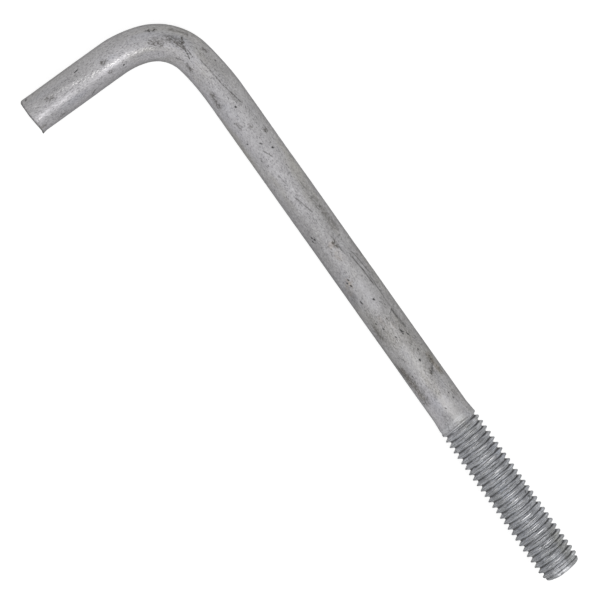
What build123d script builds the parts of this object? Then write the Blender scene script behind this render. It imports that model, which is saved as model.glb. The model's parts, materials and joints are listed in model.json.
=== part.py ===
"""An L-shaped anchor bolt: one round steel rod, bent at one end and threaded at the other.

It lies flat. The shank runs along X with its threaded end towards +X, the hook leg points to -Y, and +Z is up.
The origin is on the shank's axis, in the face of the threaded end. Every size is in millimetres.
"""

from build123d import *
import os

# The two runs, measured from where the axes of the shank and of the hook leg cross
shank_run = 199.3
leg_run = 50.4
corner_angle = 89.5

# The rod, and the thread rolled on it, whose crests stand out of the rod
rod_diameter = 11.3
thread_diameter = 12.6
thread_length = 54.1
crest_rise_length = 7.3  # over which the first crests grow out of the rod

# The point: a slight taper over the last turns, and a rounded edge on the end face
point_length = 3.4
point_drop = 0.85
point_round = 0.8

# The bend: a tight nose between two easier stretches
shank_ease_radius = 82.0
shank_ease_angle = 10.3
nose_radius = 15.5
leg_ease_radius = 29.3
leg_ease_angle = 20.2

# The sheared end of the leg: rolled over where the blade came in, with a lip where it left
roll_over_radius = 1.2
roll_over_bite = 0.1
shear_fall = 0.4
lip_height = 0.2
lip_length = 0.9
lip_radius = 4.9  # the lip follows only the part of the edge that the blade left last

rod_radius = rod_diameter / 2
thread_radius = thread_diameter / 2
nose_angle = 180 - corner_angle - shank_ease_angle - leg_ease_angle
rise_start = thread_length + crest_rise_length / 2
rise_end = thread_length - crest_rise_length / 2
shear_waste = 5.0  # rod beyond the end of the leg, which the shear takes off
waste_half = rod_radius + shear_waste


# The bend by itself, drawn from the end of the straight shank, which it leaves towards -X
with BuildLine() as bend:
    shank_ease = JernArc((0, 0), (-1, 0), shank_ease_radius, shank_ease_angle)
    nose = JernArc(shank_ease @ 1, shank_ease % 1, nose_radius, nose_angle)
    leg_ease = JernArc(nose @ 1, nose % 1, leg_ease_radius, leg_ease_angle)

# How much of each run the bend takes, so that both runs keep their lengths
leg_direction = leg_ease % 1
leg_setback = (leg_ease @ 1).Y / leg_direction.Y
shank_setback = leg_setback * leg_direction.X - (leg_ease @ 1).X
bend_start = Vector(shank_setback - shank_run, 0, 0)
leg_start = bend_start + leg_ease @ 1
leg_end = leg_start + leg_direction * (leg_run - leg_setback)
inner_side = Vector(-leg_direction.Y, leg_direction.X, 0)

# The rod's whole centreline, with the waste still on the leg
with BuildLine() as centreline:
    Line((-rise_start, 0), bend_start)
    add(bend.line.moved(Location(bend_start)))
    Line(leg_start, leg_end + leg_direction * shear_waste)


with BuildPart() as l_bolt:
    # the threaded end, to the outline of its crests
    with BuildSketch():
        with BuildLine():
            Polyline((0, 0), (-rise_start, 0), (-rise_start, rod_radius), (-rise_end, thread_radius))
            Line((-rise_end, thread_radius), (-point_length, thread_radius))
            point = Line((-point_length, thread_radius), (0, thread_radius - point_drop))
            Line(point @ 1, (0, 0))
        make_face()
        fillet(vertices().sort_by_distance(point @ 1)[0], point_round)
    revolve(axis=Axis.X)

    # the plain rod, from the thread round the bend and past the end of the leg
    with BuildSketch(Plane(centreline.line @ 0, x_dir=(0, 1, 0), z_dir=(-1, 0, 0))):
        Circle(rod_radius)
    sweep(path=centreline.line)

    # the lip that the shear dragged out over the leg's inner side
    with BuildSketch(Plane(leg_end - leg_direction * lip_length, x_dir=inner_side, z_dir=leg_direction)):
        with Locations((rod_radius + lip_height - lip_radius, 0)):
            Circle(lip_radius)
    extrude(amount=lip_length + shear_waste)

    # the shear's cut through both, seen from above: it takes off all that lies past the end of the leg
    with BuildSketch(Plane(leg_end, x_dir=inner_side, z_dir=(0, 0, -1))):
        with BuildLine():
            roll_over = RadiusArc(
                (-rod_radius - roll_over_bite, -roll_over_radius),
                (roll_over_radius - rod_radius - roll_over_bite, 0),
                roll_over_radius,
            )
            Polyline(
                roll_over @ 1,
                (0, 0),
                (waste_half, -shear_fall * waste_half / rod_radius),
                (waste_half, 2 * shear_waste),
                (-waste_half, 2 * shear_waste),
                (-waste_half, -roll_over_radius),
                roll_over @ 0,
            )
        make_face()
    extrude(amount=waste_half, both=True, mode=Mode.SUBTRACT)

l_bolt.part.label = "l_bolt"

os.makedirs("parts", exist_ok=True)
export_step(l_bolt.part, "parts/l_bolt.step")
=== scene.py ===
import bmesh
import bpy
import json
from math import atan2, ceil, cos, hypot, pi, radians, sin, sqrt
from mathutils import Matrix, Vector, noise


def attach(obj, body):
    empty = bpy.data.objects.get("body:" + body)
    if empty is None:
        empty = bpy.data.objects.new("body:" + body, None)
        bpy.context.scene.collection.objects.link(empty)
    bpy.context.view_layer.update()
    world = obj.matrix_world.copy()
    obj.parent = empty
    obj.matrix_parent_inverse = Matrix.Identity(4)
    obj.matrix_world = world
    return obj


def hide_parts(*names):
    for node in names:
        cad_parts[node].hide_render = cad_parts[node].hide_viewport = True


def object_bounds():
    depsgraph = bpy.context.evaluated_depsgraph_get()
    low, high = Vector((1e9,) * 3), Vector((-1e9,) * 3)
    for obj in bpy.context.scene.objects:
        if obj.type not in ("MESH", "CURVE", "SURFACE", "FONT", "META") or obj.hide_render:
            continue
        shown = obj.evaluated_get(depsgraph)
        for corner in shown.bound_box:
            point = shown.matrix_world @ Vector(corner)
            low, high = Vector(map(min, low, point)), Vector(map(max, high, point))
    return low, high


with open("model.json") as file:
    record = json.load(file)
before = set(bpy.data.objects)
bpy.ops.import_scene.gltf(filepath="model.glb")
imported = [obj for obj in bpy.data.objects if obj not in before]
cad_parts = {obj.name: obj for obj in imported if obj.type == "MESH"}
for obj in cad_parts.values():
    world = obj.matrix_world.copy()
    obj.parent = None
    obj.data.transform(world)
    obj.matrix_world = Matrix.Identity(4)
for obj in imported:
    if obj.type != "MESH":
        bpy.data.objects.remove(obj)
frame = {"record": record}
cad_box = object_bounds()


# THE ROLLED THREAD
# Thirteen turns to the inch, rolled into the end of a round steel rod, so its crests stand out of the rod.
# It is one pitch of profile wound round the axis, right-handed, and cut off square at both ends.
mm = 0.001
mounts = {mount["name"]: mount for mount in frame["record"]["mounts"]}
thread_radius = mounts["threaded_end"]["dims"]["r_mm"] * mm
pitch = 25.4 / 13 * mm
thread_depth = 0.6134 * pitch
crest_at = -1.22 * mm  # where a crest passes the +Y side
thread_steps = 96  # round one turn
thread_turns, spare_turns = 32, 2  # the spare ones stand past the end and are cut off
thread_foot = -58.5 * mm  # the plain rod starts here
weld_gap, cut_gap = 0.003 * mm, 0.002 * mm

# half of one tooth, from crest to root: (pitches along the axis, thread depths down from the crest)
half_tooth = [(0, 0), (0.035, 0.008), (0.062, 0.03), (0.09, 0.085), (0.15, 0.247), (0.25, 0.529),
              (0.34, 0.784), (0.39, 0.91), (0.435, 0.98), (0.5, 1)]

bolt = bmesh.new()
tooth = [(-along, down) for along, down in reversed(half_tooth[1:])] + half_tooth
first_crest = crest_at - (thread_turns - spare_turns) * pitch
tooth_line = [bolt.verts.new((first_crest + along * pitch, thread_radius - down * thread_depth, 0))
              for along, down in tooth]
tooth_edges = [bolt.edges.new(pair) for pair in zip(tooth_line, tooth_line[1:])]
bmesh.ops.spin(bolt, geom=tooth_line + tooth_edges, cent=(0, 0, 0), axis=(1, 0, 0),
               dvec=(pitch / thread_steps, 0, 0), angle=2 * pi, steps=thread_steps)
one_turn = list(bolt.verts) + list(bolt.edges) + list(bolt.faces)
for turn in range(1, thread_turns):
    copy = bmesh.ops.duplicate(bolt, geom=one_turn)["geom"]
    copied_verts = [v for v in copy if isinstance(v, bmesh.types.BMVert)]
    bmesh.ops.translate(bolt, verts=copied_verts, vec=(turn * pitch, 0, 0))
bmesh.ops.remove_doubles(bolt, verts=bolt.verts, dist=weld_gap)
for cut_at, side in ((thread_foot, "clear_inner"), (0, "clear_outer")):
    bmesh.ops.bisect_plane(bolt, geom=list(bolt.verts) + list(bolt.edges) + list(bolt.faces), dist=cut_gap,
                           plane_co=(cut_at, 0, 0), plane_no=(1, 0, 0), **{side: True})

# The crests grow out of the rod over the first turns, and the point tapers to a rounded rim. Zinc stayed in
# the grooves on the +Y side as the bolt drained, and round the point, where it dripped off.
rod_radius = mounts["hook_leg"]["dims"]["r_mm"] * mm
rise_start, rise_end = -57.65 * mm, -50.35 * mm
point_length, point_drop, point_round = 3.4 * mm, 0.85 * mm, 0.8 * mm
groove_start, groove_growth = -54.6 * mm, 1.5 * mm  # where the rolls first bite, and over what length
root_rounding, crest_rounding = 0.15 * mm, 0.12 * mm
side_fill = 0.12 * mm
side_fill_from, side_fill_full = 0.1, 0.95  # how far round to the +Y side, where 1 is the side itself
point_fill = 0.34 * mm
point_fill_from, point_fill_full = -3.0 * mm, -0.8 * mm
fill_unevenness, fill_lumps = 1.4, 0.55 / mm
root_shade = bolt.verts.layers.float.new("thread_root")


def smoothly(low, high, value):
    """0 below low, 1 above high, and a soft step between."""
    t = max(0.0, min(1.0, (value - low) / (high - low)))
    return t * t * (3 - 2 * t)


def crest_reach(x):
    """How far from the axis the crests reach at a place along the thread."""
    rise = max(0.0, min(1.0, (x - rise_start) / (rise_end - rise_start)))
    reach = rod_radius + (thread_radius - rod_radius) * rise
    reach -= point_drop * max(0.0, x / point_length + 1)
    rounding = max(0.0, min(1.0, x / point_round + 1))
    return reach - point_round * (1 - sqrt(1 - rounding * rounding))


def soft_least(a, b, rounding):
    """The lesser of two lengths, with the corner between them rounded."""
    mix = max(0.0, min(1.0, 0.5 + 0.5 * (b - a) / rounding))
    return b + (a - b) * mix - rounding * mix * (1 - mix)


for vert in bolt.verts:
    x, y, z = vert.co
    radius, around = hypot(y, z), atan2(z, y)
    turns_back = round((crest_at - pitch / 2 - x) / pitch + around / (2 * pi))
    root_x = crest_at - pitch / 2 - (turns_back - around / (2 * pi)) * pitch  # of the nearest root
    bite = smoothly(groove_start, groove_start + groove_growth, root_x)
    fill = side_fill * smoothly(side_fill_from, side_fill_full, y / radius)
    fill += point_fill * smoothly(point_fill_from, point_fill_full, x)
    fill *= 1 + fill_unevenness * noise.noise(Vector((x, y, z)) * fill_lumps)
    rolled = (thread_radius - radius) * bite
    vert[root_shade] = max(0.0, min(1.0, rolled / thread_depth))
    depth = soft_least(rolled, thread_depth - fill, root_rounding)
    new_radius = soft_least(crest_reach(x), thread_radius - depth, crest_rounding)
    vert.co.y, vert.co.z = y * new_radius / radius, z * new_radius / radius


# THE ROD
# Plain hot-rolled round bar, thinner than the thread, drawn on from the thread's foot to the sheared end.
# It is made straight, as long as the shank, the bend and the leg are along their middle line.
leg_end, leg_axis = Vector(mounts["hook_leg"]["pos_m"]), Vector(mounts["hook_leg"]["axis"])
crossing = leg_end - leg_axis * (leg_end.y / leg_axis.y)  # of the shank's axis and the leg's
shank_run, leg_run = -crossing.x, (leg_end - crossing).length
# the three arcs of the bend: (radius, angle)
bends = [(82.0 * mm, radians(10.3)), (15.5 * mm, radians(60.0)), (29.3 * mm, radians(20.2))]
ring_step = 0.8 * mm
foot_gap = 0.01 * mm


def on_centreline(run, bend_start):
    """Where a run along the straight rod comes to once the rod is bent, and how far it has turned there."""
    spot, turned, left = Vector((-min(run, bend_start), 0, 0)), 0.0, run - bend_start
    for radius, angle in bends:
        turn = max(0.0, min(angle, left / radius))
        middle = spot + radius * Vector((sin(turned), -cos(turned), 0))
        turned += turn
        spot = middle + radius * Vector((-sin(turned), cos(turned), 0))
        left -= radius * angle
    return spot + max(0.0, left) * Vector((-cos(turned), -sin(turned), 0)), turned


bend_length = sum(radius * angle for radius, angle in bends)
bend_end, corner = on_centreline(bend_length, 0)
leg_setback = -bend_end.y / sin(corner)
bend_start = shank_run + bend_end.x + leg_setback * cos(corner)
rod_length = bend_start + bend_length + leg_run - leg_setback

foot_edges = [e for e in bolt.edges
              if e.is_boundary and all(abs(v.co.x - thread_foot) < foot_gap for v in e.verts)]
rings = ceil((rod_length + thread_foot) / ring_step)
ring_step = (rod_length + thread_foot) / rings
first_ring = Matrix.Translation((thread_foot - ring_step, 0, 0)) @ Matrix.Rotation(pi / 2, 4, "Y")
ring = bmesh.ops.create_circle(bolt, segments=thread_steps, radius=rod_radius, matrix=first_ring)["verts"]
ring_edges = list({e for v in ring for e in v.link_edges})
bmesh.ops.bridge_loops(bolt, edges=foot_edges + ring_edges)
for _ in range(rings - 1):
    grown = bmesh.ops.extrude_edge_only(bolt, edges=ring_edges)["geom"]
    ring = [g for g in grown if isinstance(g, bmesh.types.BMVert)]
    ring_edges = [g for g in grown if isinstance(g, bmesh.types.BMEdge)]
    bmesh.ops.translate(bolt, verts=ring, vec=(-ring_step, 0, 0))


# THE SHEARED END AND THE POINT
# Both ends are closed by a face made of rings. The shear rolled the outer edge over, left the face falling
# away a little, and dragged a low lip over the inner edge. The saw left the threaded end out of square.
face_rings = 9


def cap(rim_edges):
    """Closes an open end with a face made of rings, which meet in one vertex in the middle."""
    for ring_number in range(face_rings, 0, -1):
        grown = bmesh.ops.extrude_edge_only(bolt, edges=rim_edges)["geom"]
        rim = [g for g in grown if isinstance(g, bmesh.types.BMVert)]
        rim_edges = [g for g in grown if isinstance(g, bmesh.types.BMEdge)]
        smaller = (ring_number - 1) / ring_number
        bmesh.ops.scale(bolt, verts=rim, vec=(1, smaller, smaller))
    bmesh.ops.pointmerge(bolt, verts=rim, merge_co=rim[0].co)


cap(ring_edges)
cap([e for e in bolt.edges if e.is_boundary])
bmesh.ops.recalc_face_normals(bolt, faces=bolt.faces)

end_reach = 3 * mm  # how far in from either end its cut changed the rod
roll_over, roll_depth = 1.2 * mm, 0.66 * mm
face_fall = 0.42 * mm
lip_height, lip_length, lip_inside = 0.28 * mm, 1.5 * mm, 0.5  # inside: the middle of the face is spared
burr_length = 0.3 * mm
lip_from, burr_from = 0.35, 0.86  # how far round to the inner side they start, where 1 is the side itself
end_x = -rod_length
for vert in bolt.verts:
    x, y, z = vert.co
    if x > end_x + end_reach:
        continue
    side = y / rod_radius  # +1 on the outer side of the bend, -1 on the inner
    past = max(0.0, y - (rod_radius - roll_over)) / roll_over
    shorter = face_fall * max(0.0, -side) + roll_depth * past * past
    shorter -= burr_length * smoothly(burr_from, 1.0, -side)
    vert.co.x += shorter * (1 - smoothly(0, end_reach, x - end_x))
    radius = hypot(y, z)
    if radius > lip_inside * rod_radius:
        lip = smoothly(lip_from, 1.0, -side) * (1 - smoothly(0, lip_length, x - end_x))
        grow = lip_height * lip * smoothly(lip_inside, 1.0, radius / rod_radius)
        vert.co.y, vert.co.z = y * (1 + grow / radius), z * (1 + grow / radius)

saw_slant = 0.6 * mm
worn_back, worn_in = 0.42 * mm, 0.22 * mm  # the rim's -Y side, knocked back and in
worn_from, worn_full, worn_reach = 1.0 * mm, 5.2 * mm, 2 * mm
for vert in bolt.verts:
    if vert.co.x > -end_reach:
        near = smoothly(-end_reach, 0, vert.co.x)
        worn = smoothly(worn_from, worn_full, -vert.co.y)
        vert.co.x -= near * (saw_slant * (vert.co.y / rod_radius + 1) / 2 + worn_back * worn)
        vert.co.y += worn_in * smoothly(-worn_reach, 0, vert.co.x) * worn


# THE ZINC SKIN
# Hot-dip zinc follows the steel but pools as it drains, so the skin is gently wavy. Each vertex also keeps
# its place on the straight rod, in millimetres, for the finish to follow round the bend.
long_wave, long_wave_grain, long_wave_shift = 0.05 * mm, Vector((0.06, 0.16, 0.16)), Vector((3.1, 7.7, 1.9))
short_wave, short_wave_grain, short_wave_shift = 0.025 * mm, 0.55, Vector((11.3, 2.1, 5.7))
bolt.normal_update()
straight_rod = bolt.verts.layers.float_vector.new("straight_rod")
for vert in bolt.verts:
    spot = vert.co / mm
    vert[straight_rod] = spot
    long_waves = noise.noise(spot * long_wave_grain + long_wave_shift)
    short_waves = noise.noise(spot * short_wave_grain + short_wave_shift)
    vert.co += vert.normal * (long_wave * long_waves + short_wave * short_waves)


# THE BEND
# The straight rod is bent cold over a peg: a tight nose between two easier stretches. It thins a little
# there, over the first stretch, and is back to its full thickness before the leg.
thinning, thinning_start, thinning_stop = 0.024, 12 * mm, 8 * mm
for vert in bolt.verts:
    run = -vert.co.x
    if run > bend_start:
        spot, turned = on_centreline(run, bend_start)
        in_bend = smoothly(0, thinning_start, run - bend_start)
        in_bend *= smoothly(0, thinning_stop, bend_start + bend_length - run)
        outwards = vert.co.y * (1 - thinning * in_bend) * Vector((-sin(turned), cos(turned), 0))
        vert.co = spot + outwards + Vector((0, 0, vert.co.z))

bolt_mesh = bpy.data.meshes.new("galvanized_bolt")
for face in bolt.faces:
    face.smooth = True
bolt.to_mesh(bolt_mesh)
bolt.free()
bolt_piece = bpy.data.objects.new("galvanized_bolt", bolt_mesh)
bpy.context.scene.collection.objects.link(bolt_piece)


# THE FINISH
# Dull grey hot-dip zinc, in patches a little bluer or browner, with drawn-out streaks, pits, smudges of dirt
# and bright grains. Light and shade are painted in as well: highlights along the top and the leg, glints on
# the thread and on the drips at the point, where it drained last, and shade on the sides, at the sheared edge
# and in the thread. Its patterns follow the rod round the bend.
def place(tree, kind, sockets=None, **settings):
    """Adds a node, sets its settings, and gives each named socket a value or a wire."""
    node = tree.nodes.new("ShaderNode" + kind)
    for name, value in settings.items():
        setattr(node, name, value)
    for name, value in (sockets or {}).items():
        if isinstance(value, bpy.types.NodeSocket):
            tree.links.new(value, node.inputs[name])
        else:
            node.inputs[name].default_value = value
    return node


def start_group(name, takes, gives):
    """A node group with its sockets, and the two ends inside it."""
    group = bpy.data.node_groups.new(name, "ShaderNodeTree")
    for in_out, sockets in (("INPUT", takes), ("OUTPUT", gives)):
        for socket, kind in sockets.items():
            group.interface.new_socket(socket, in_out=in_out, socket_type="NodeSocket" + kind)
    return group, group.nodes.new("NodeGroupInput").outputs, group.nodes.new("NodeGroupOutput").inputs


# patches: noise stretched along the rod and cut between two levels
patches, takes, gives = start_group(
    "zinc_patches", {"Rod": "Vector", "Grain": "Vector", "Shift": "Vector", "Low": "Float", "High": "Float"},
    {"Mask": "Float"})
moved = place(patches, "VectorMath", {0: takes["Rod"], 1: takes["Grain"], 2: takes["Shift"]},
              operation="MULTIPLY_ADD").outputs[0]
cloud = place(patches, "TexNoise", {"Vector": moved, "Scale": 1.0, "Detail": 4.0, "Roughness": 0.6})
level = place(patches, "MapRange", {"Value": cloud.outputs["Fac"], "From Min": takes["Low"],
                                    "From Max": takes["High"]}, interpolation_type="SMOOTHSTEP")
patches.links.new(level.outputs["Result"], gives["Mask"])

# one mark: a line from one place to another on the straight rod, of a given half width, with a ragged edge.
# It is laid over the marks before it, and waits for them, so that the shader works out one mark at a time.
mark, takes, gives = start_group(
    "zinc_mark", {"Rod": "Vector", "Before": "Float", "From": "Vector", "To": "Vector", "Width": "Float",
                  "Ragged": "Float", "Dark": "Float"}, {"Mask": "Float"})
almost_none, solid_core = 1e-9, 0.2
waited = place(mark, "VectorMath", {0: takes["Before"], 1: (almost_none,) * 3, 2: takes["Rod"]},
               operation="MULTIPLY_ADD").outputs[0]
reached = place(mark, "VectorMath", {0: waited, 1: takes["From"]}, operation="SUBTRACT").outputs[0]
line = place(mark, "VectorMath", {0: takes["To"], 1: takes["From"]}, operation="SUBTRACT").outputs[0]
along_line = place(mark, "VectorMath", {0: reached, 1: line}, operation="DOT_PRODUCT").outputs["Value"]
line_square = place(mark, "VectorMath", {0: line, 1: line}, operation="DOT_PRODUCT").outputs["Value"]
share = place(mark, "Math", {0: along_line, 1: line_square}, operation="DIVIDE", use_clamp=True).outputs[0]
nearest = place(mark, "VectorMath", {0: line, "Scale": share}, operation="SCALE").outputs[0]
away = place(mark, "VectorMath", {0: reached, 1: nearest}, operation="DISTANCE").outputs["Value"]
crumble = place(mark, "TexNoise", {"Vector": takes["Rod"], "Scale": 1.5, "Detail": 3.0, "Roughness": 0.75})
centred = place(mark, "Math", {0: crumble.outputs["Fac"], 1: 0.5}, operation="SUBTRACT").outputs[0]
edge = place(mark, "Math", {0: centred, 1: takes["Ragged"], 2: away}, operation="MULTIPLY_ADD").outputs[0]
core = place(mark, "Math", {0: takes["Width"], 1: solid_core}, operation="MULTIPLY").outputs[0]
level = place(mark, "MapRange", {"Value": edge, "From Min": takes["Width"], "From Max": core},
              interpolation_type="SMOOTHSTEP")
darker = place(mark, "Math", {0: level.outputs["Result"], 1: takes["Dark"]}, operation="MULTIPLY").outputs[0]
laid = place(mark, "Math", {0: takes["Before"], 1: darker}, operation="MAXIMUM").outputs[0]
mark.links.new(laid, gives["Mask"])

zinc = bpy.data.materials.new("hot_dip_zinc")
zinc.use_nodes = True
tree = zinc.node_tree
zinc_shader = tree.nodes["Principled BSDF"]
rod = place(tree, "Attribute", attribute_name="straight_rod").outputs["Vector"]
root = place(tree, "Attribute", attribute_name="thread_root").outputs["Fac"]
rod_parts = place(tree, "SeparateXYZ", {0: rod}).outputs
# In millimetres on the straight rod: along is 0 at the threaded end and falls towards the sheared one,
# across is over 0 on the outer side of the bend, and up is over 0 on the top.
along, across, up = rod_parts["X"], rod_parts["Y"], rod_parts["Z"]


def calc(operation, *values):
    """One step of arithmetic on values or wires."""
    return place(tree, "Math", dict(enumerate(values)), operation=operation).outputs[0]


def times(product, *others):
    """Several values or wires multiplied together."""
    for other in others:
        product = calc("MULTIPLY", product, other)
    return product


def ramp(value, low, high, to_low=0.0, to_high=1.0):
    """A straight slope from one level at low to another at high, and level past them."""
    return place(tree, "MapRange", {"Value": value, "From Min": low, "From Max": high, "To Min": to_low,
                                    "To Max": to_high}).outputs["Result"]


def line_mask(value, middle, faded, full):
    """1 where a value is as near to the middle as full, and 0 once it is as far as faded."""
    return ramp(calc("ABSOLUTE", calc("SUBTRACT", value, middle)), faded, full)


def clouds(where, scale, detail, roughness):
    """Soft noise of a given size."""
    return place(tree, "TexNoise", {"Vector": where, "Scale": scale, "Detail": detail,
                                    "Roughness": roughness}).outputs["Fac"]


def patch_mask(grain, shift, low, high, where=rod):
    """Patches of a given grain along and across, cut between two levels."""
    return place(tree, "Group", {"Rod": where, "Grain": grain, "Shift": shift, "Low": low, "High": high},
                 node_tree=patches).outputs["Mask"]


def lay_marks(marks, ragged, surface=rod_radius / mm):
    """The marks of one kind as a mask, laid on the skin this far from the axis."""
    so_far = 0.0
    for from_along, from_across, to_along, to_across, half_width, dark in marks:
        start = (from_along, from_across, sqrt(surface ** 2 - from_across ** 2))
        stop = (to_along, to_across, sqrt(surface ** 2 - to_across ** 2))
        so_far = place(tree, "Group", {"Rod": rod, "Before": so_far, "From": start, "To": stop,
                                       "Width": half_width, "Ragged": ragged, "Dark": dark},
                       node_tree=mark).outputs["Mask"]
    return so_far


def blend(share, under, over, how="MIX"):
    """Lays one colour over another by a share. A mix node takes colours in sockets 6 and 7, and gives 2."""
    return place(tree, "Mix", {0: share, 6: under, 7: over}, data_type="RGBA", blend_type=how).outputs[2]


# the zinc's own colours, in broad patches, then a darker -Y side along the middle of the shank, and a warm
# painted light tint on the +Y side
light_zinc, dull_zinc = (0.432, 0.423, 0.44, 1), (0.355, 0.348, 0.358, 1)
brown_zinc, blue_zinc = (0.365, 0.35, 0.31, 1), (0.37, 0.375, 0.42, 1)
darker_side_zinc, warm_light_tint = (0.2, 0.196, 0.19, 1), (0.37, 0.36, 0.33, 1)
dull_patches = patch_mask((0.045, 0.2, 0.2), (4.2, 1.3, 8.8), 0.36, 0.66)
brown_patches = patch_mask((0.03, 0.13, 0.13), (9.1, 5.5, 2.0), 0.5, 0.72)
blue_patches = patch_mask((0.05, 0.16, 0.16), (1.7, 9.3, 4.4), 0.52, 0.7)
mid_shank = times(ramp(along, -142, -122), ramp(along, -64, -78))
# darker towards the -Y side along the middle of the shank
darker_side = times(mid_shank, ramp(across, 2.0, -5.0, 0.2, 0.42))
# painted light: the +Y side of the shank is tinted warmer and darker, for the warmer light that falls on that
# side
warm_light_side = times(ramp(across, -1.0, 5.0, 0, 0.3), ramp(along, -57, -62))
colour = blend(dull_patches, light_zinc, dull_zinc)
colour = blend(times(brown_patches, 0.6), colour, brown_zinc)
colour = blend(times(blue_patches, 0.5), colour, blue_zinc)
colour = blend(darker_side, colour, darker_side_zinc)
colour = blend(warm_light_side, colour, warm_light_tint)

# grain of every size, from broad mottling to single crystals, a little longer along the rod than across it
dark_mottle, bright_mottle = (0.12, 0.118, 0.12, 1), (0.72, 0.72, 0.73, 1)
dark_crystal, bright_crystal = (0.12, 0.12, 0.122, 1), (0.75, 0.75, 0.76, 1)
drawn_out = place(tree, "VectorMath", {0: rod, 1: (0.55, 1.25, 1.25)}, operation="MULTIPLY").outputs[0]
mottle = clouds(drawn_out, 0.13, 5.0, 0.9)
crystals = clouds(drawn_out, 2.6, 1.0, 0.9)
weathered = ramp(along, -160, -115, 0.5, 1.0)
colour = blend(times(ramp(mottle, 0.5, 0.3, 0, 0.42), weathered), colour, dark_mottle)
colour = blend(times(ramp(mottle, 0.5, 0.7, 0, 0.25), weathered), colour, bright_mottle)
colour = blend(ramp(crystals, 0.47, 0.2, 0, 1.0), colour, dark_crystal)
colour = blend(ramp(crystals, 0.5, 0.85, 0, 0.42), colour, bright_crystal)

# fine dark specks and short scratches, which gather in drifts
speck_dark, scratch_dark = (0.13, 0.13, 0.132, 1), (0.17, 0.168, 0.17, 1)
drift = patch_mask((0.09, 0.3, 0.3), (6.3, 2.7, 9.9), 0.42, 0.66)
specks = patch_mask((1.0, 2.3, 2.3), (2.2, 8.1, 0.7), 0.6, 0.74)
scratches = patch_mask((0.22, 2.1, 2.1), (7.0, 3.0, 5.0), 0.6, 0.78)
colour = blend(times(specks, calc("MULTIPLY_ADD", drift, 0.55, 0.2)), colour, speck_dark)
colour = blend(times(scratches, calc("MULTIPLY_ADD", drift, 0.45, 0.15)), colour, scratch_dark)

# The marks that show, in millimetres on the straight rod: from (along, across) to (along, across), then the
# half width and how dark, or how bright, the mark is.
# painted highlight: lighter spots along the top of the shank, the largest near the thread, in place of the
# light's highlight there
highlight_spots = [
    (-62.0, 0.2, -55.8, 0.9, 2.6, 0.36), (-80.0, -0.5, -74.0, -0.3, 2.2, 0.2),
    (-104.0, 0.0, -96.0, 0.3, 2.2, 0.2),
]
stains = [
    (-106.0, -2.5, -103.4, -4.2, 1.8, 0.8), (-117.5, 0.0, -113.5, -0.6, 2.0, 0.5),
    (-75.0, 4.4, -70.0, 4.2, 1.8, 0.5), (-75.0, -4.6, -66.0, -4.6, 1.8, 0.4),
    (-92.0, -1.5, -88.0, 0.5, 1.5, 0.3),
]
smudges = [
    (-215.0, 0.4, -213.8, 0.0, 0.9, 0.8), (-234.0, 0.9, -232.6, 0.5, 1.0, 0.75),
    (-214.7, -3.3, -213.5, -3.2, 0.8, 0.5), (-233.7, -5.0, -231.5, -5.0, 0.8, 0.6),
    (-240.6, -4.5, -238.8, -4.6, 0.9, 0.6), (-199.6, -0.4, -196.2, -1.2, 1.1, 0.8),
    (-198.4, 0.4, -194.5, 0.2, 1.3, 0.45), (-195.2, 1.8, -191.6, 1.6, 1.2, 0.6),
    (-194.4, 1.0, -189.7, 0.3, 1.5, 0.8), (-194.5, 4.0, -190.5, 4.2, 1.0, 0.6),
    (-190.9, 2.4, -190.3, 1.2, 0.9, 1.0), (-199.8, 3.3, -198.1, 3.4, 0.7, 0.9),
    (-185.2, 3.7, -184.2, 3.6, 0.9, 0.7), (-185.3, -3.2, -183.2, -3.5, 1.0, 0.8),
    (-173.3, -3.3, -169.5, -3.9, 1.4, 0.7), (-171.0, 1.3, -167.0, 1.7, 1.0, 0.4),
    (-156.4, 3.4, -155.7, 3.5, 1.0, 0.9), (-160.1, 0.3, -158.9, 0.5, 0.6, 0.6),
    (-162.3, -2.4, -160.5, -2.3, 0.8, 0.55), (-131.5, 3.2, -121.0, 3.9, 1.9, 0.5),
    (-137.0, 3.0, -131.5, 3.3, 1.3, 0.25), (-117.6, 0.5, -116.4, 0.6, 1.0, 0.9),
    (-103.0, -3.9, -99.0, -4.3, 1.3, 0.4), (-111.0, 4.2, -100.0, 4.2, 1.1, 0.35),
    (-74.6, 4.2, -72.8, 3.9, 1.1, 1.0), (-74.6, 4.2, -72.8, 3.9, 2.0, 0.5),
    (-71.3, 2.4, -70.0, 1.9, 0.8, 0.9), (-71.0, 4.4, -69.0, 4.4, 1.4, 0.6),
    (-75.8, -4.9, -70.5, -4.5, 2.4, 0.8), (-70.5, -4.5, -64.5, -4.4, 2.3, 0.7),
    (-62.5, 4.0, -60.0, 4.3, 0.8, 0.5), (-90.5, -4.2, -86.5, -4.2, 1.3, 0.6),
]
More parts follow.
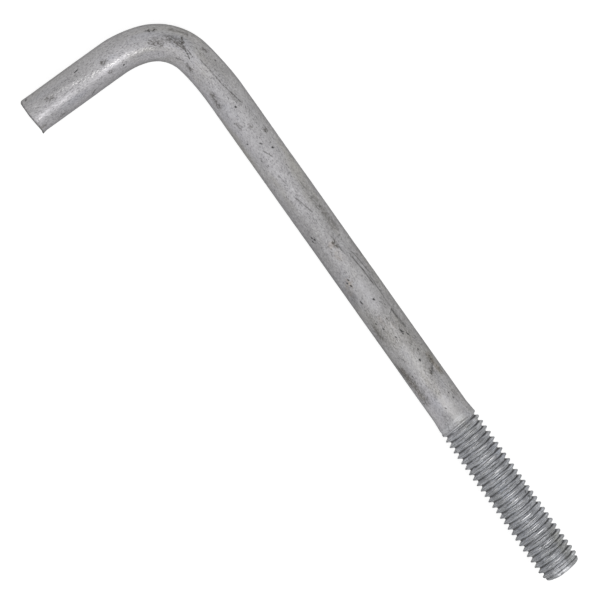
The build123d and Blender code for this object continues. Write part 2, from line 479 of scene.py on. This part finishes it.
streaks = [
    (-183.2, 0.6, -174.0, 0.8, 0.3, 0.75), (-174.0, 0.8, -167.0, 2.2, 0.3, 0.7),
    (-189.7, 0.4, -186.0, -1.4, 0.4, 1.0), (-188.2, 0.3, -185.6, -0.4, 0.3, 0.8),
    (-221.2, -4.7, -222.8, -5.3, 0.35, 0.8), (-151.4, -0.7, -148.4, 0.5, 0.3, 0.7),
    (-143.0, -1.2, -139.0, -0.8, 0.3, 0.5), (-134.6, -0.9, -128.7, 0.6, 0.35, 0.75),
    (-119.6, 1.1, -114.0, 1.3, 0.35, 0.7), (-111.2, 2.6, -106.5, 3.0, 0.4, 0.9),
    (-106.5, 3.0, -101.0, 3.1, 0.4, 1.0), (-104.5, 3.6, -98.0, 3.5, 0.35, 0.8),
    (-112.5, 3.4, -105.0, 4.2, 0.35, 0.7), (-98.5, 3.5, -93.0, 3.2, 0.3, 0.5),
    (-92.1, 3.1, -85.8, 3.5, 0.55, 0.9), (-86.2, 1.7, -84.3, 1.8, 0.35, 1.0),
    (-84.2, 2.7, -82.8, 3.0, 0.25, 0.8), (-72.4, 3.7, -70.4, 2.1, 0.4, 0.9),
    (-78.3, -2.7, -77.3, -2.4, 0.25, 0.8), (-190.0, -3.6, -187.0, -3.0, 0.35, 0.6),
]
pits = [
    (-239.5, 4.6, -239.2, 4.8, 0.44, 0.85), (-223.1, 2.7, -221.8, 2.9, 0.26, 1),
    (-209.9, -3.8, -209.6, -3.7, 0.35, 1), (-199.8, 3.4, -199.4, 3.0, 0.31, 0.74),
    (-198.5, 3.0, -198.2, 3.4, 0.31, 0.74), (-197.0, -3.6, -196.8, -3.5, 0.26, 0.64),
    (-180.7, 3.9, -180.4, 3.9, 0.35, 0.74), (-166.5, 0.1, -166.3, 0.2, 0.44, 1),
    (-155.7, -3.4, -155.5, -3.3, 0.35, 0.85), (-153.7, -0.2, -153.1, 0.2, 0.24, 0.9),
    (-150.7, 2.1, -150.5, 2.2, 0.44, 1), (-149.4, -2.9, -149.1, -2.8, 0.31, 0.74),
    (-146.9, -2.0, -146.7, -2.0, 0.26, 0.64), (-128.8, 3.5, -128.6, 3.5, 0.31, 0.74),
    (-122.6, -3.9, -122.4, -3.8, 0.4, 1), (-121.7, -3.5, -121.5, -3.4, 0.4, 1),
    (-121.5, -4.2, -121.3, -4.2, 0.4, 1), (-106.5, -2.3, -106.2, -2.2, 0.31, 0.96),
    (-105.9, -3.1, -105.6, -3.0, 0.31, 0.96), (-104.7, -2.6, -104.3, -2.5, 0.35, 1),
    (-97.7, 0.5, -97.4, 0.6, 0.4, 1), (-96.0, 1.6, -95.8, 1.6, 0.26, 0.74),
    (-99.2, -3.0, -98.5, -2.9, 0.31, 0.96), (-91.4, -3.1, -91.1, -3.0, 0.31, 0.8),
    (-88.9, -2.2, -88.6, -2.1, 0.35, 0.85), (-90.9, 0.4, -90.6, 0.4, 0.26, 0.74),
    (-85.0, -0.6, -84.7, -0.5, 0.31, 0.9), (-85.7, 1.7, -84.9, 2.1, 0.26, 0.96),
    (-83.8, 2.8, -83.3, 3.0, 0.26, 0.85), (-78.4, 2.7, -78.1, 2.7, 0.31, 0.9),
    (-75.5, 1.3, -75.2, 1.3, 0.4, 1), (-72.7, -3.3, -72.4, -3.2, 0.31, 0.85),
    (-62.9, 2.7, -62.7, 2.7, 0.26, 0.74), (-61.0, 3.0, -60.7, 3.0, 0.31, 0.85),
    (-59.8, -0.8, -59.4, -0.6, 0.24, 0.74), (-1.8, -0.3, -1.7, 0.1, 0.5, 0.7),
]
highlight_zinc, stain_brown = (0.56, 0.555, 0.58, 1), (0.95, 0.86, 0.74, 1)
dirt, streak_dark, pit_black = (0.06, 0.055, 0.046, 1), (0.1, 0.098, 0.096, 1), (0.04, 0.04, 0.04, 1)
blotchy = patch_mask((0.5, 0.9, 0.9), (2.8, 6.6, 1.2), 0.35, 0.65)
crumbly = patch_mask((1.3, 2.4, 2.4), (5.1, 0.4, 3.3), 0.4, 0.56)
# the highlight spots are painted highlight; the stains, dirt, streaks and pits after them are the zinc's own
# marks
colour = blend(lay_marks(highlight_spots, 1.0), colour, highlight_zinc)
colour = blend(times(lay_marks(stains, 2.5), blotchy), colour, stain_brown, "MULTIPLY")
colour = blend(times(lay_marks(smudges, 2.3), calc("MULTIPLY_ADD", crumbly, 0.75, 0.2)), colour, dirt)
colour = blend(times(lay_marks(streaks, 0.45), calc("MULTIPLY_ADD", crumbly, 0.5, 0.5)), colour, streak_dark)
colour = blend(lay_marks(pits, 0.3), colour, pit_black)

# a painted highlight along the leg, with painted glints by the sheared end and the bend, broken up by the
# grain
leg_highlights = [
    (-232.5, 1.2, -225.0, 0.1, 0.8, 0.5), (-225.0, 0.1, -216.6, -1.3, 0.95, 1.0),
    (-216.6, -1.3, -204.6, -2.1, 0.95, 1.0), (-204.6, -2.1, -198.5, -2.3, 0.8, 0.6),
    (-238.4, 1.0, -238.0, 1.1, 0.5, 0.8), (-239.2, -2.3, -238.8, -2.2, 0.5, 0.8),
    (-194.4, 1.1, -194.1, 1.1, 0.4, 0.7),
]
highlight_white = (0.85, 0.84, 0.83, 1)
glinting = patch_mask((1.5, 2.6, 2.6), (8.8, 1.9, 6.1), 0.5, 0.62)
colour = blend(times(lay_marks(leg_highlights, 1.5), glinting, 0.85), colour, highlight_white)

# painted shade on the sheared edge, where the rim rolls over: a dark line that falls away with the face
sheared_edge_shade = (0.1, 0.098, 0.098, 1)
end_line = calc("MULTIPLY_ADD", calc("MINIMUM", across, 0.0), face_fall / rod_radius, along)
end_line = calc("MULTIPLY_ADD", crystals, 0.5, end_line)
colour = blend(ramp(end_line, -240.3, -240.8, 0, 0.75), colour, sheared_edge_shade)

# painted shade on the rod's sides off the thread, darker as they turn down from the top
side_shade_colour = (0.1, 0.1, 0.1, 1)
painted_side_shade = times(ramp(up, 3.2, 0.8, 0, 0.31), ramp(along, -54, -57))
colour = blend(painted_side_shade, colour, side_shade_colour)

# The thread is greyer and bluer, with fine lines that follow it round. Its colours fade in over the foot and
# stay off the end face, and the lines show most on the top, while the sides stay plainer and bluer.
line_dark, line_bright, bluish = (0.56, 0.585, 0.59, 1), (1.4, 1.45, 1.465, 1), (1.0, 1.035, 1.045, 1)
way_round = calc("ARCTAN2", across, up)
thread_line = calc("MULTIPLY_ADD", way_round, pitch / mm / (2 * pi), along)
quarter_turn = 0.25  # from the top round to the +Y side
tooth_place = calc("MULTIPLY_ADD", thread_line, mm / pitch, -crest_at / pitch - quarter_turn)
tooth_place = calc("FRACT", tooth_place)  # 0 at a crest and 0.5 at a root
lit_flank, root_bottom, crest_side = 0.22, 0.49, 0.86  # places across a tooth that colours follow
unwound = place(tree, "CombineXYZ", {0: thread_line, 1: times(way_round, thread_radius / mm)}).outputs[0]
from_axis = calc("SQRT", calc("ADD", times(across, across), times(up, up)))
on_top = ramp(calc("DIVIDE", up, from_axis), 0.75, 0.98)
foot_line = calc("MULTIPLY_ADD", crystals, 2.5, along)
off_face = ramp(calc("MULTIPLY_ADD", crystals, 0.8, from_axis), 4.4, 4.9)
in_thread = times(ramp(foot_line, -55.5, -49.5), off_face)
lines_round = patch_mask((7.0, 0.2, 1.0), (1.3, 4.4, 0.0), 0.4, 0.58, unwound)
thread_tone = blend(lines_round, line_dark, line_bright)
thread_tone = blend(ramp(on_top, 0, 1, 0.4, 1.0), bluish, thread_tone)
colour = blend(in_thread, colour, thread_tone, "MULTIPLY")

# painted light and shade in the thread: the flanks are painted brighter, the lit side of each more so, and
# the crests darker
flank_bright = (0.62, 0.63, 0.645, 1)
lit_flank_highlight = times(line_mask(tooth_place, lit_flank, 0.22, 0.02), on_top, in_thread, 0.42)
colour = blend(lit_flank_highlight, colour, flank_bright)
tooth_angle = times(tooth_place, 2 * pi)
crest_shade_tone = ramp(across, 0, 5, 0.62, 0.8)
# painted light and shade across each tooth: crests and roots darker than the flanks, the tip-facing flank
# lighter, on the top the crests darker and the roots lighter, and lighter towards both sides of the rod
groove_light_tone = times(
    ramp(root, 0.0, 0.2, crest_shade_tone, 1.32), ramp(root, 0.8, 0.92, 1, 0.8),
    calc("MULTIPLY_ADD", calc("SINE", tooth_angle), 0.06, 1.0),
    calc("MULTIPLY_ADD", times(calc("COSINE", tooth_angle), on_top), -0.32, 1.02),
    ramp(across, 2.5, 4.0, 0.96, 1.22), ramp(across, -3.0, -1.2, 1.13, 1.0))
grooved = times(ramp(foot_line, -54.0, -50.5), ramp(along, -1.4, -2.6), off_face)
colour = blend(grooved, colour, groove_light_tone, "MULTIPLY")

# dirt and painted shade in the roots, in a line that wanders and is darker off the top, where the grooves
# fall into shade, with a faint painted shade line beside the crests on the top
root_dirt_shade_colour = (0.07, 0.07, 0.072, 1)
wander = patch_mask((0.4, 0.25, 1.0), (7.4, 3.1, 0.0), 0.25, 0.75, unwound)
wander = calc("MULTIPLY_ADD", wander, 0.12, root_bottom)
root_middle = calc("MULTIPLY_ADD", across, 0.011, wander)
crest_middle = calc("ADD", wander, crest_side - root_bottom)
cut_deep = times(ramp(root, 0.15, 0.45), off_face, ramp(along, -1.0, -2.4, 0.25, 1.0))
first_turns = ramp(along, -54.5, -48, 0.6, 1.0)
root_dirt_and_shade = times(line_mask(tooth_place, root_middle, 0.16, 0.07), cut_deep,
                   ramp(on_top, 0, 1, 0.88, 0.0), ramp(across, -3, 0, 0.8, 1))
root_line = times(line_mask(tooth_place, root_middle, 0.1, 0.04), cut_deep, first_turns, 0.85)
crest_shade_line = times(line_mask(tooth_place, crest_middle, 0.08, 0.03), on_top, in_thread, 0.42)
root_dirt_and_shade = calc("MAXIMUM", calc("MAXIMUM", root_dirt_and_shade, root_line), crest_shade_line)
colour = blend(root_dirt_and_shade, colour, root_dirt_shade_colour)

# painted glints between the roots, two pits, painted glints on the drips at the point, and the thread darker
# underneath
glint, drip_glint_white, under_dark = (0.95, 0.95, 0.97, 1), (0.85, 0.86, 0.88, 1), (0.76, 0.76, 0.76, 1)
thread_surface, point_surface = 6.05, 5.6
thread_pits = [
    (-26.3, 4.2, -26.1, 4.2, 0.62, 1), (-24.5, 4.3, -24.3, 4.3, 0.62, 0.9),
]
drip_glints = [
    (-2.2, -2.4, -2.3, -1.1, 0.5, 0.9), (-2.5, 0.1, -2.4, 0.6, 0.5, 1.0), (-2.9, 0.8, -2.9, 2.4, 0.4, 0.6),
    (-1.2, 0.2, -1.0, 1.6, 0.75, 0.55), (-0.9, -1.9, -0.8, -1.5, 0.45, 0.8),
]
glints = patch_mask((5.5, 0.15, 1.0), (4.4, 2.2, 0.0), 0.52, 0.56, unwound)
glints = times(glints, ramp(on_top, 0.4, 1.0), in_thread, ramp(root, 0.7, 0.4))
colour = blend(glints, colour, glint)
colour = blend(lay_marks(thread_pits, 0.3, thread_surface), colour, pit_black)
colour = blend(lay_marks(drip_glints, 0.5, point_surface), colour, drip_glint_white)
colour = blend(times(ramp(up, 3.0, 0.5), in_thread), colour, under_dark, "MULTIPLY")
tree.links.new(colour, zinc_shader.inputs["Base Color"])

# rougher in the thread, and grainy to the touch all over, a little more so on the leg
rough_patches = patch_mask((0.3, 0.6, 0.6), (3.3, 0.4, 7.1), 0.3, 0.7)
rough = calc("MULTIPLY_ADD", in_thread, 0.12, ramp(rough_patches, 0, 1, 0.34, 0.48))
tree.links.new(rough, zinc_shader.inputs["Roughness"])
on_leg = ramp(along, -196, -212)
grains, lumps = clouds(rod, 1.9, 2.0, 0.75), clouds(rod, 0.55, 2.0, 0.5)
height = calc("ADD", lumps, times(grains, calc("MULTIPLY_ADD", on_leg, 0.2, 0.9)))
height = calc("MULTIPLY_ADD", times(lines_round, in_thread), 0.5, height)
bump = place(tree, "Bump", {"Height": height, "Strength": 1.0, "Distance": 0.055 * mm})
tree.links.new(bump.outputs["Normal"], zinc_shader.inputs["Normal"])
zinc_shader.inputs["Metallic"].default_value = 0.65
zinc_shader.inputs["Specular Tint"].default_value = (0.3, 0.3, 0.3, 1)  # duller at the edges
bolt_mesh.materials.append(zinc)
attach(bolt_piece, "root")
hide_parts("l_bolt")


# THE FLOOR
# A plain white sheet that the bolt lies on. It glows white to the camera, so that it stays white round the
# bolt's shadow, and lights the bolt only as a matt sheet does.
floor_size, floor_glow = 2.0, 0.8


def looked_at(tree):
    """1 where the camera looks at a thing, straight or through a reflection or glass, and 0 for its light."""
    paths = place(tree, "LightPath").outputs
    seen = place(tree, "Math", {0: paths["Is Camera Ray"], 1: paths["Is Glossy Ray"]}, operation="MAXIMUM")
    return place(tree, "Math", {0: seen.outputs[0], 1: paths["Is Transmission Ray"]},
                 operation="MAXIMUM").outputs[0]


floor_mesh = bmesh.new()
bmesh.ops.create_grid(floor_mesh, x_segments=1, y_segments=1, size=floor_size,
                      matrix=Matrix.Translation((0, 0, -thread_radius)))
sheet = bpy.data.meshes.new("floor")
floor_mesh.to_mesh(sheet)
floor_mesh.free()
floor_piece = bpy.data.objects.new("floor", sheet)
bpy.context.scene.collection.objects.link(floor_piece)
floor_paint = bpy.data.materials.new("white_floor")
floor_paint.use_nodes = True
floor_tree = floor_paint.node_tree
floor_shader = floor_tree.nodes["Principled BSDF"]
floor_shader.inputs["Base Color"].default_value = (0.5, 0.5, 0.5, 1)
floor_shader.inputs["Roughness"].default_value = 1
floor_shader.inputs["Specular IOR Level"].default_value = 0
floor_shader.inputs["Emission Color"].default_value = (1, 1, 1, 1)
glow = place(floor_tree, "Math", {0: looked_at(floor_tree), 1: floor_glow}, operation="MULTIPLY")
floor_tree.links.new(glow.outputs[0], floor_shader.inputs["Emission Strength"])
sheet.materials.append(floor_paint)


# THE LIGHT AND THE CAMERA
# A white room, with a broad soft light overhead and a small lamp to one side. The camera looks straight down.
# Both lamps and the camera point at one place, a little off the middle of the bolt.
room_light = 0.38
world = bpy.data.worlds.new("white_room")
world.use_nodes = True
bpy.context.scene.world = world
room = world.node_tree.nodes["Background"]
room.inputs["Color"].default_value = (1, 1, 1, 1)
room_level = place(world.node_tree, "MapRange", {"Value": looked_at(world.node_tree), "To Min": room_light,
                                                 "To Max": 1.0})
world.node_tree.links.new(room_level.outputs["Result"], room.inputs["Strength"])

camera_turn = radians(54.675)
camera_height = 849.1 * mm
off_middle = Vector((-7.379, 5.009, 0)) * mm
aim = (Vector(cad_box[0]) + Vector(cad_box[1])) / 2 + off_middle
picture_right = Vector((cos(camera_turn), sin(camera_turn), 0))
picture_up = Vector((-sin(camera_turn), cos(camera_turn), 0))
overhead = Vector((0, 0, 1))


def hang_lamp(name, towards, distance, size, power):
    """A round lamp that shines at the bolt from a direction."""
    lamp = bpy.data.lights.new(name, "AREA")
    lamp.shape = "DISK"
    lamp.size = size
    lamp.energy = power
    holder = bpy.data.objects.new(name, lamp)
    bpy.context.scene.collection.objects.link(holder)
    holder.location = aim + towards.normalized() * distance
    holder.rotation_euler = towards.to_track_quat("Z", "Y").to_euler()


hang_lamp("overhead_softbox", overhead - picture_up * 0.18 - picture_right * 0.25, distance=1.6, size=2.4,
          power=5.4)
hang_lamp("small_lamp", picture_right * 0.42 - picture_up * 0.35 + overhead * 0.84, distance=1.2, size=0.25,
          power=2.7)

camera_data = bpy.data.cameras.new("camera")
camera_data.lens = 174
camera_data.sensor_width = 36
camera_data.clip_start = 0.01
camera_object = bpy.data.objects.new("camera", camera_data)
bpy.context.scene.collection.objects.link(camera_object)
camera_object.location = aim + overhead * camera_height
camera_object.rotation_euler = (0, 0, camera_turn)
bpy.context.scene.camera = camera_object
bpy.context.scene.view_settings.view_transform = "Standard"
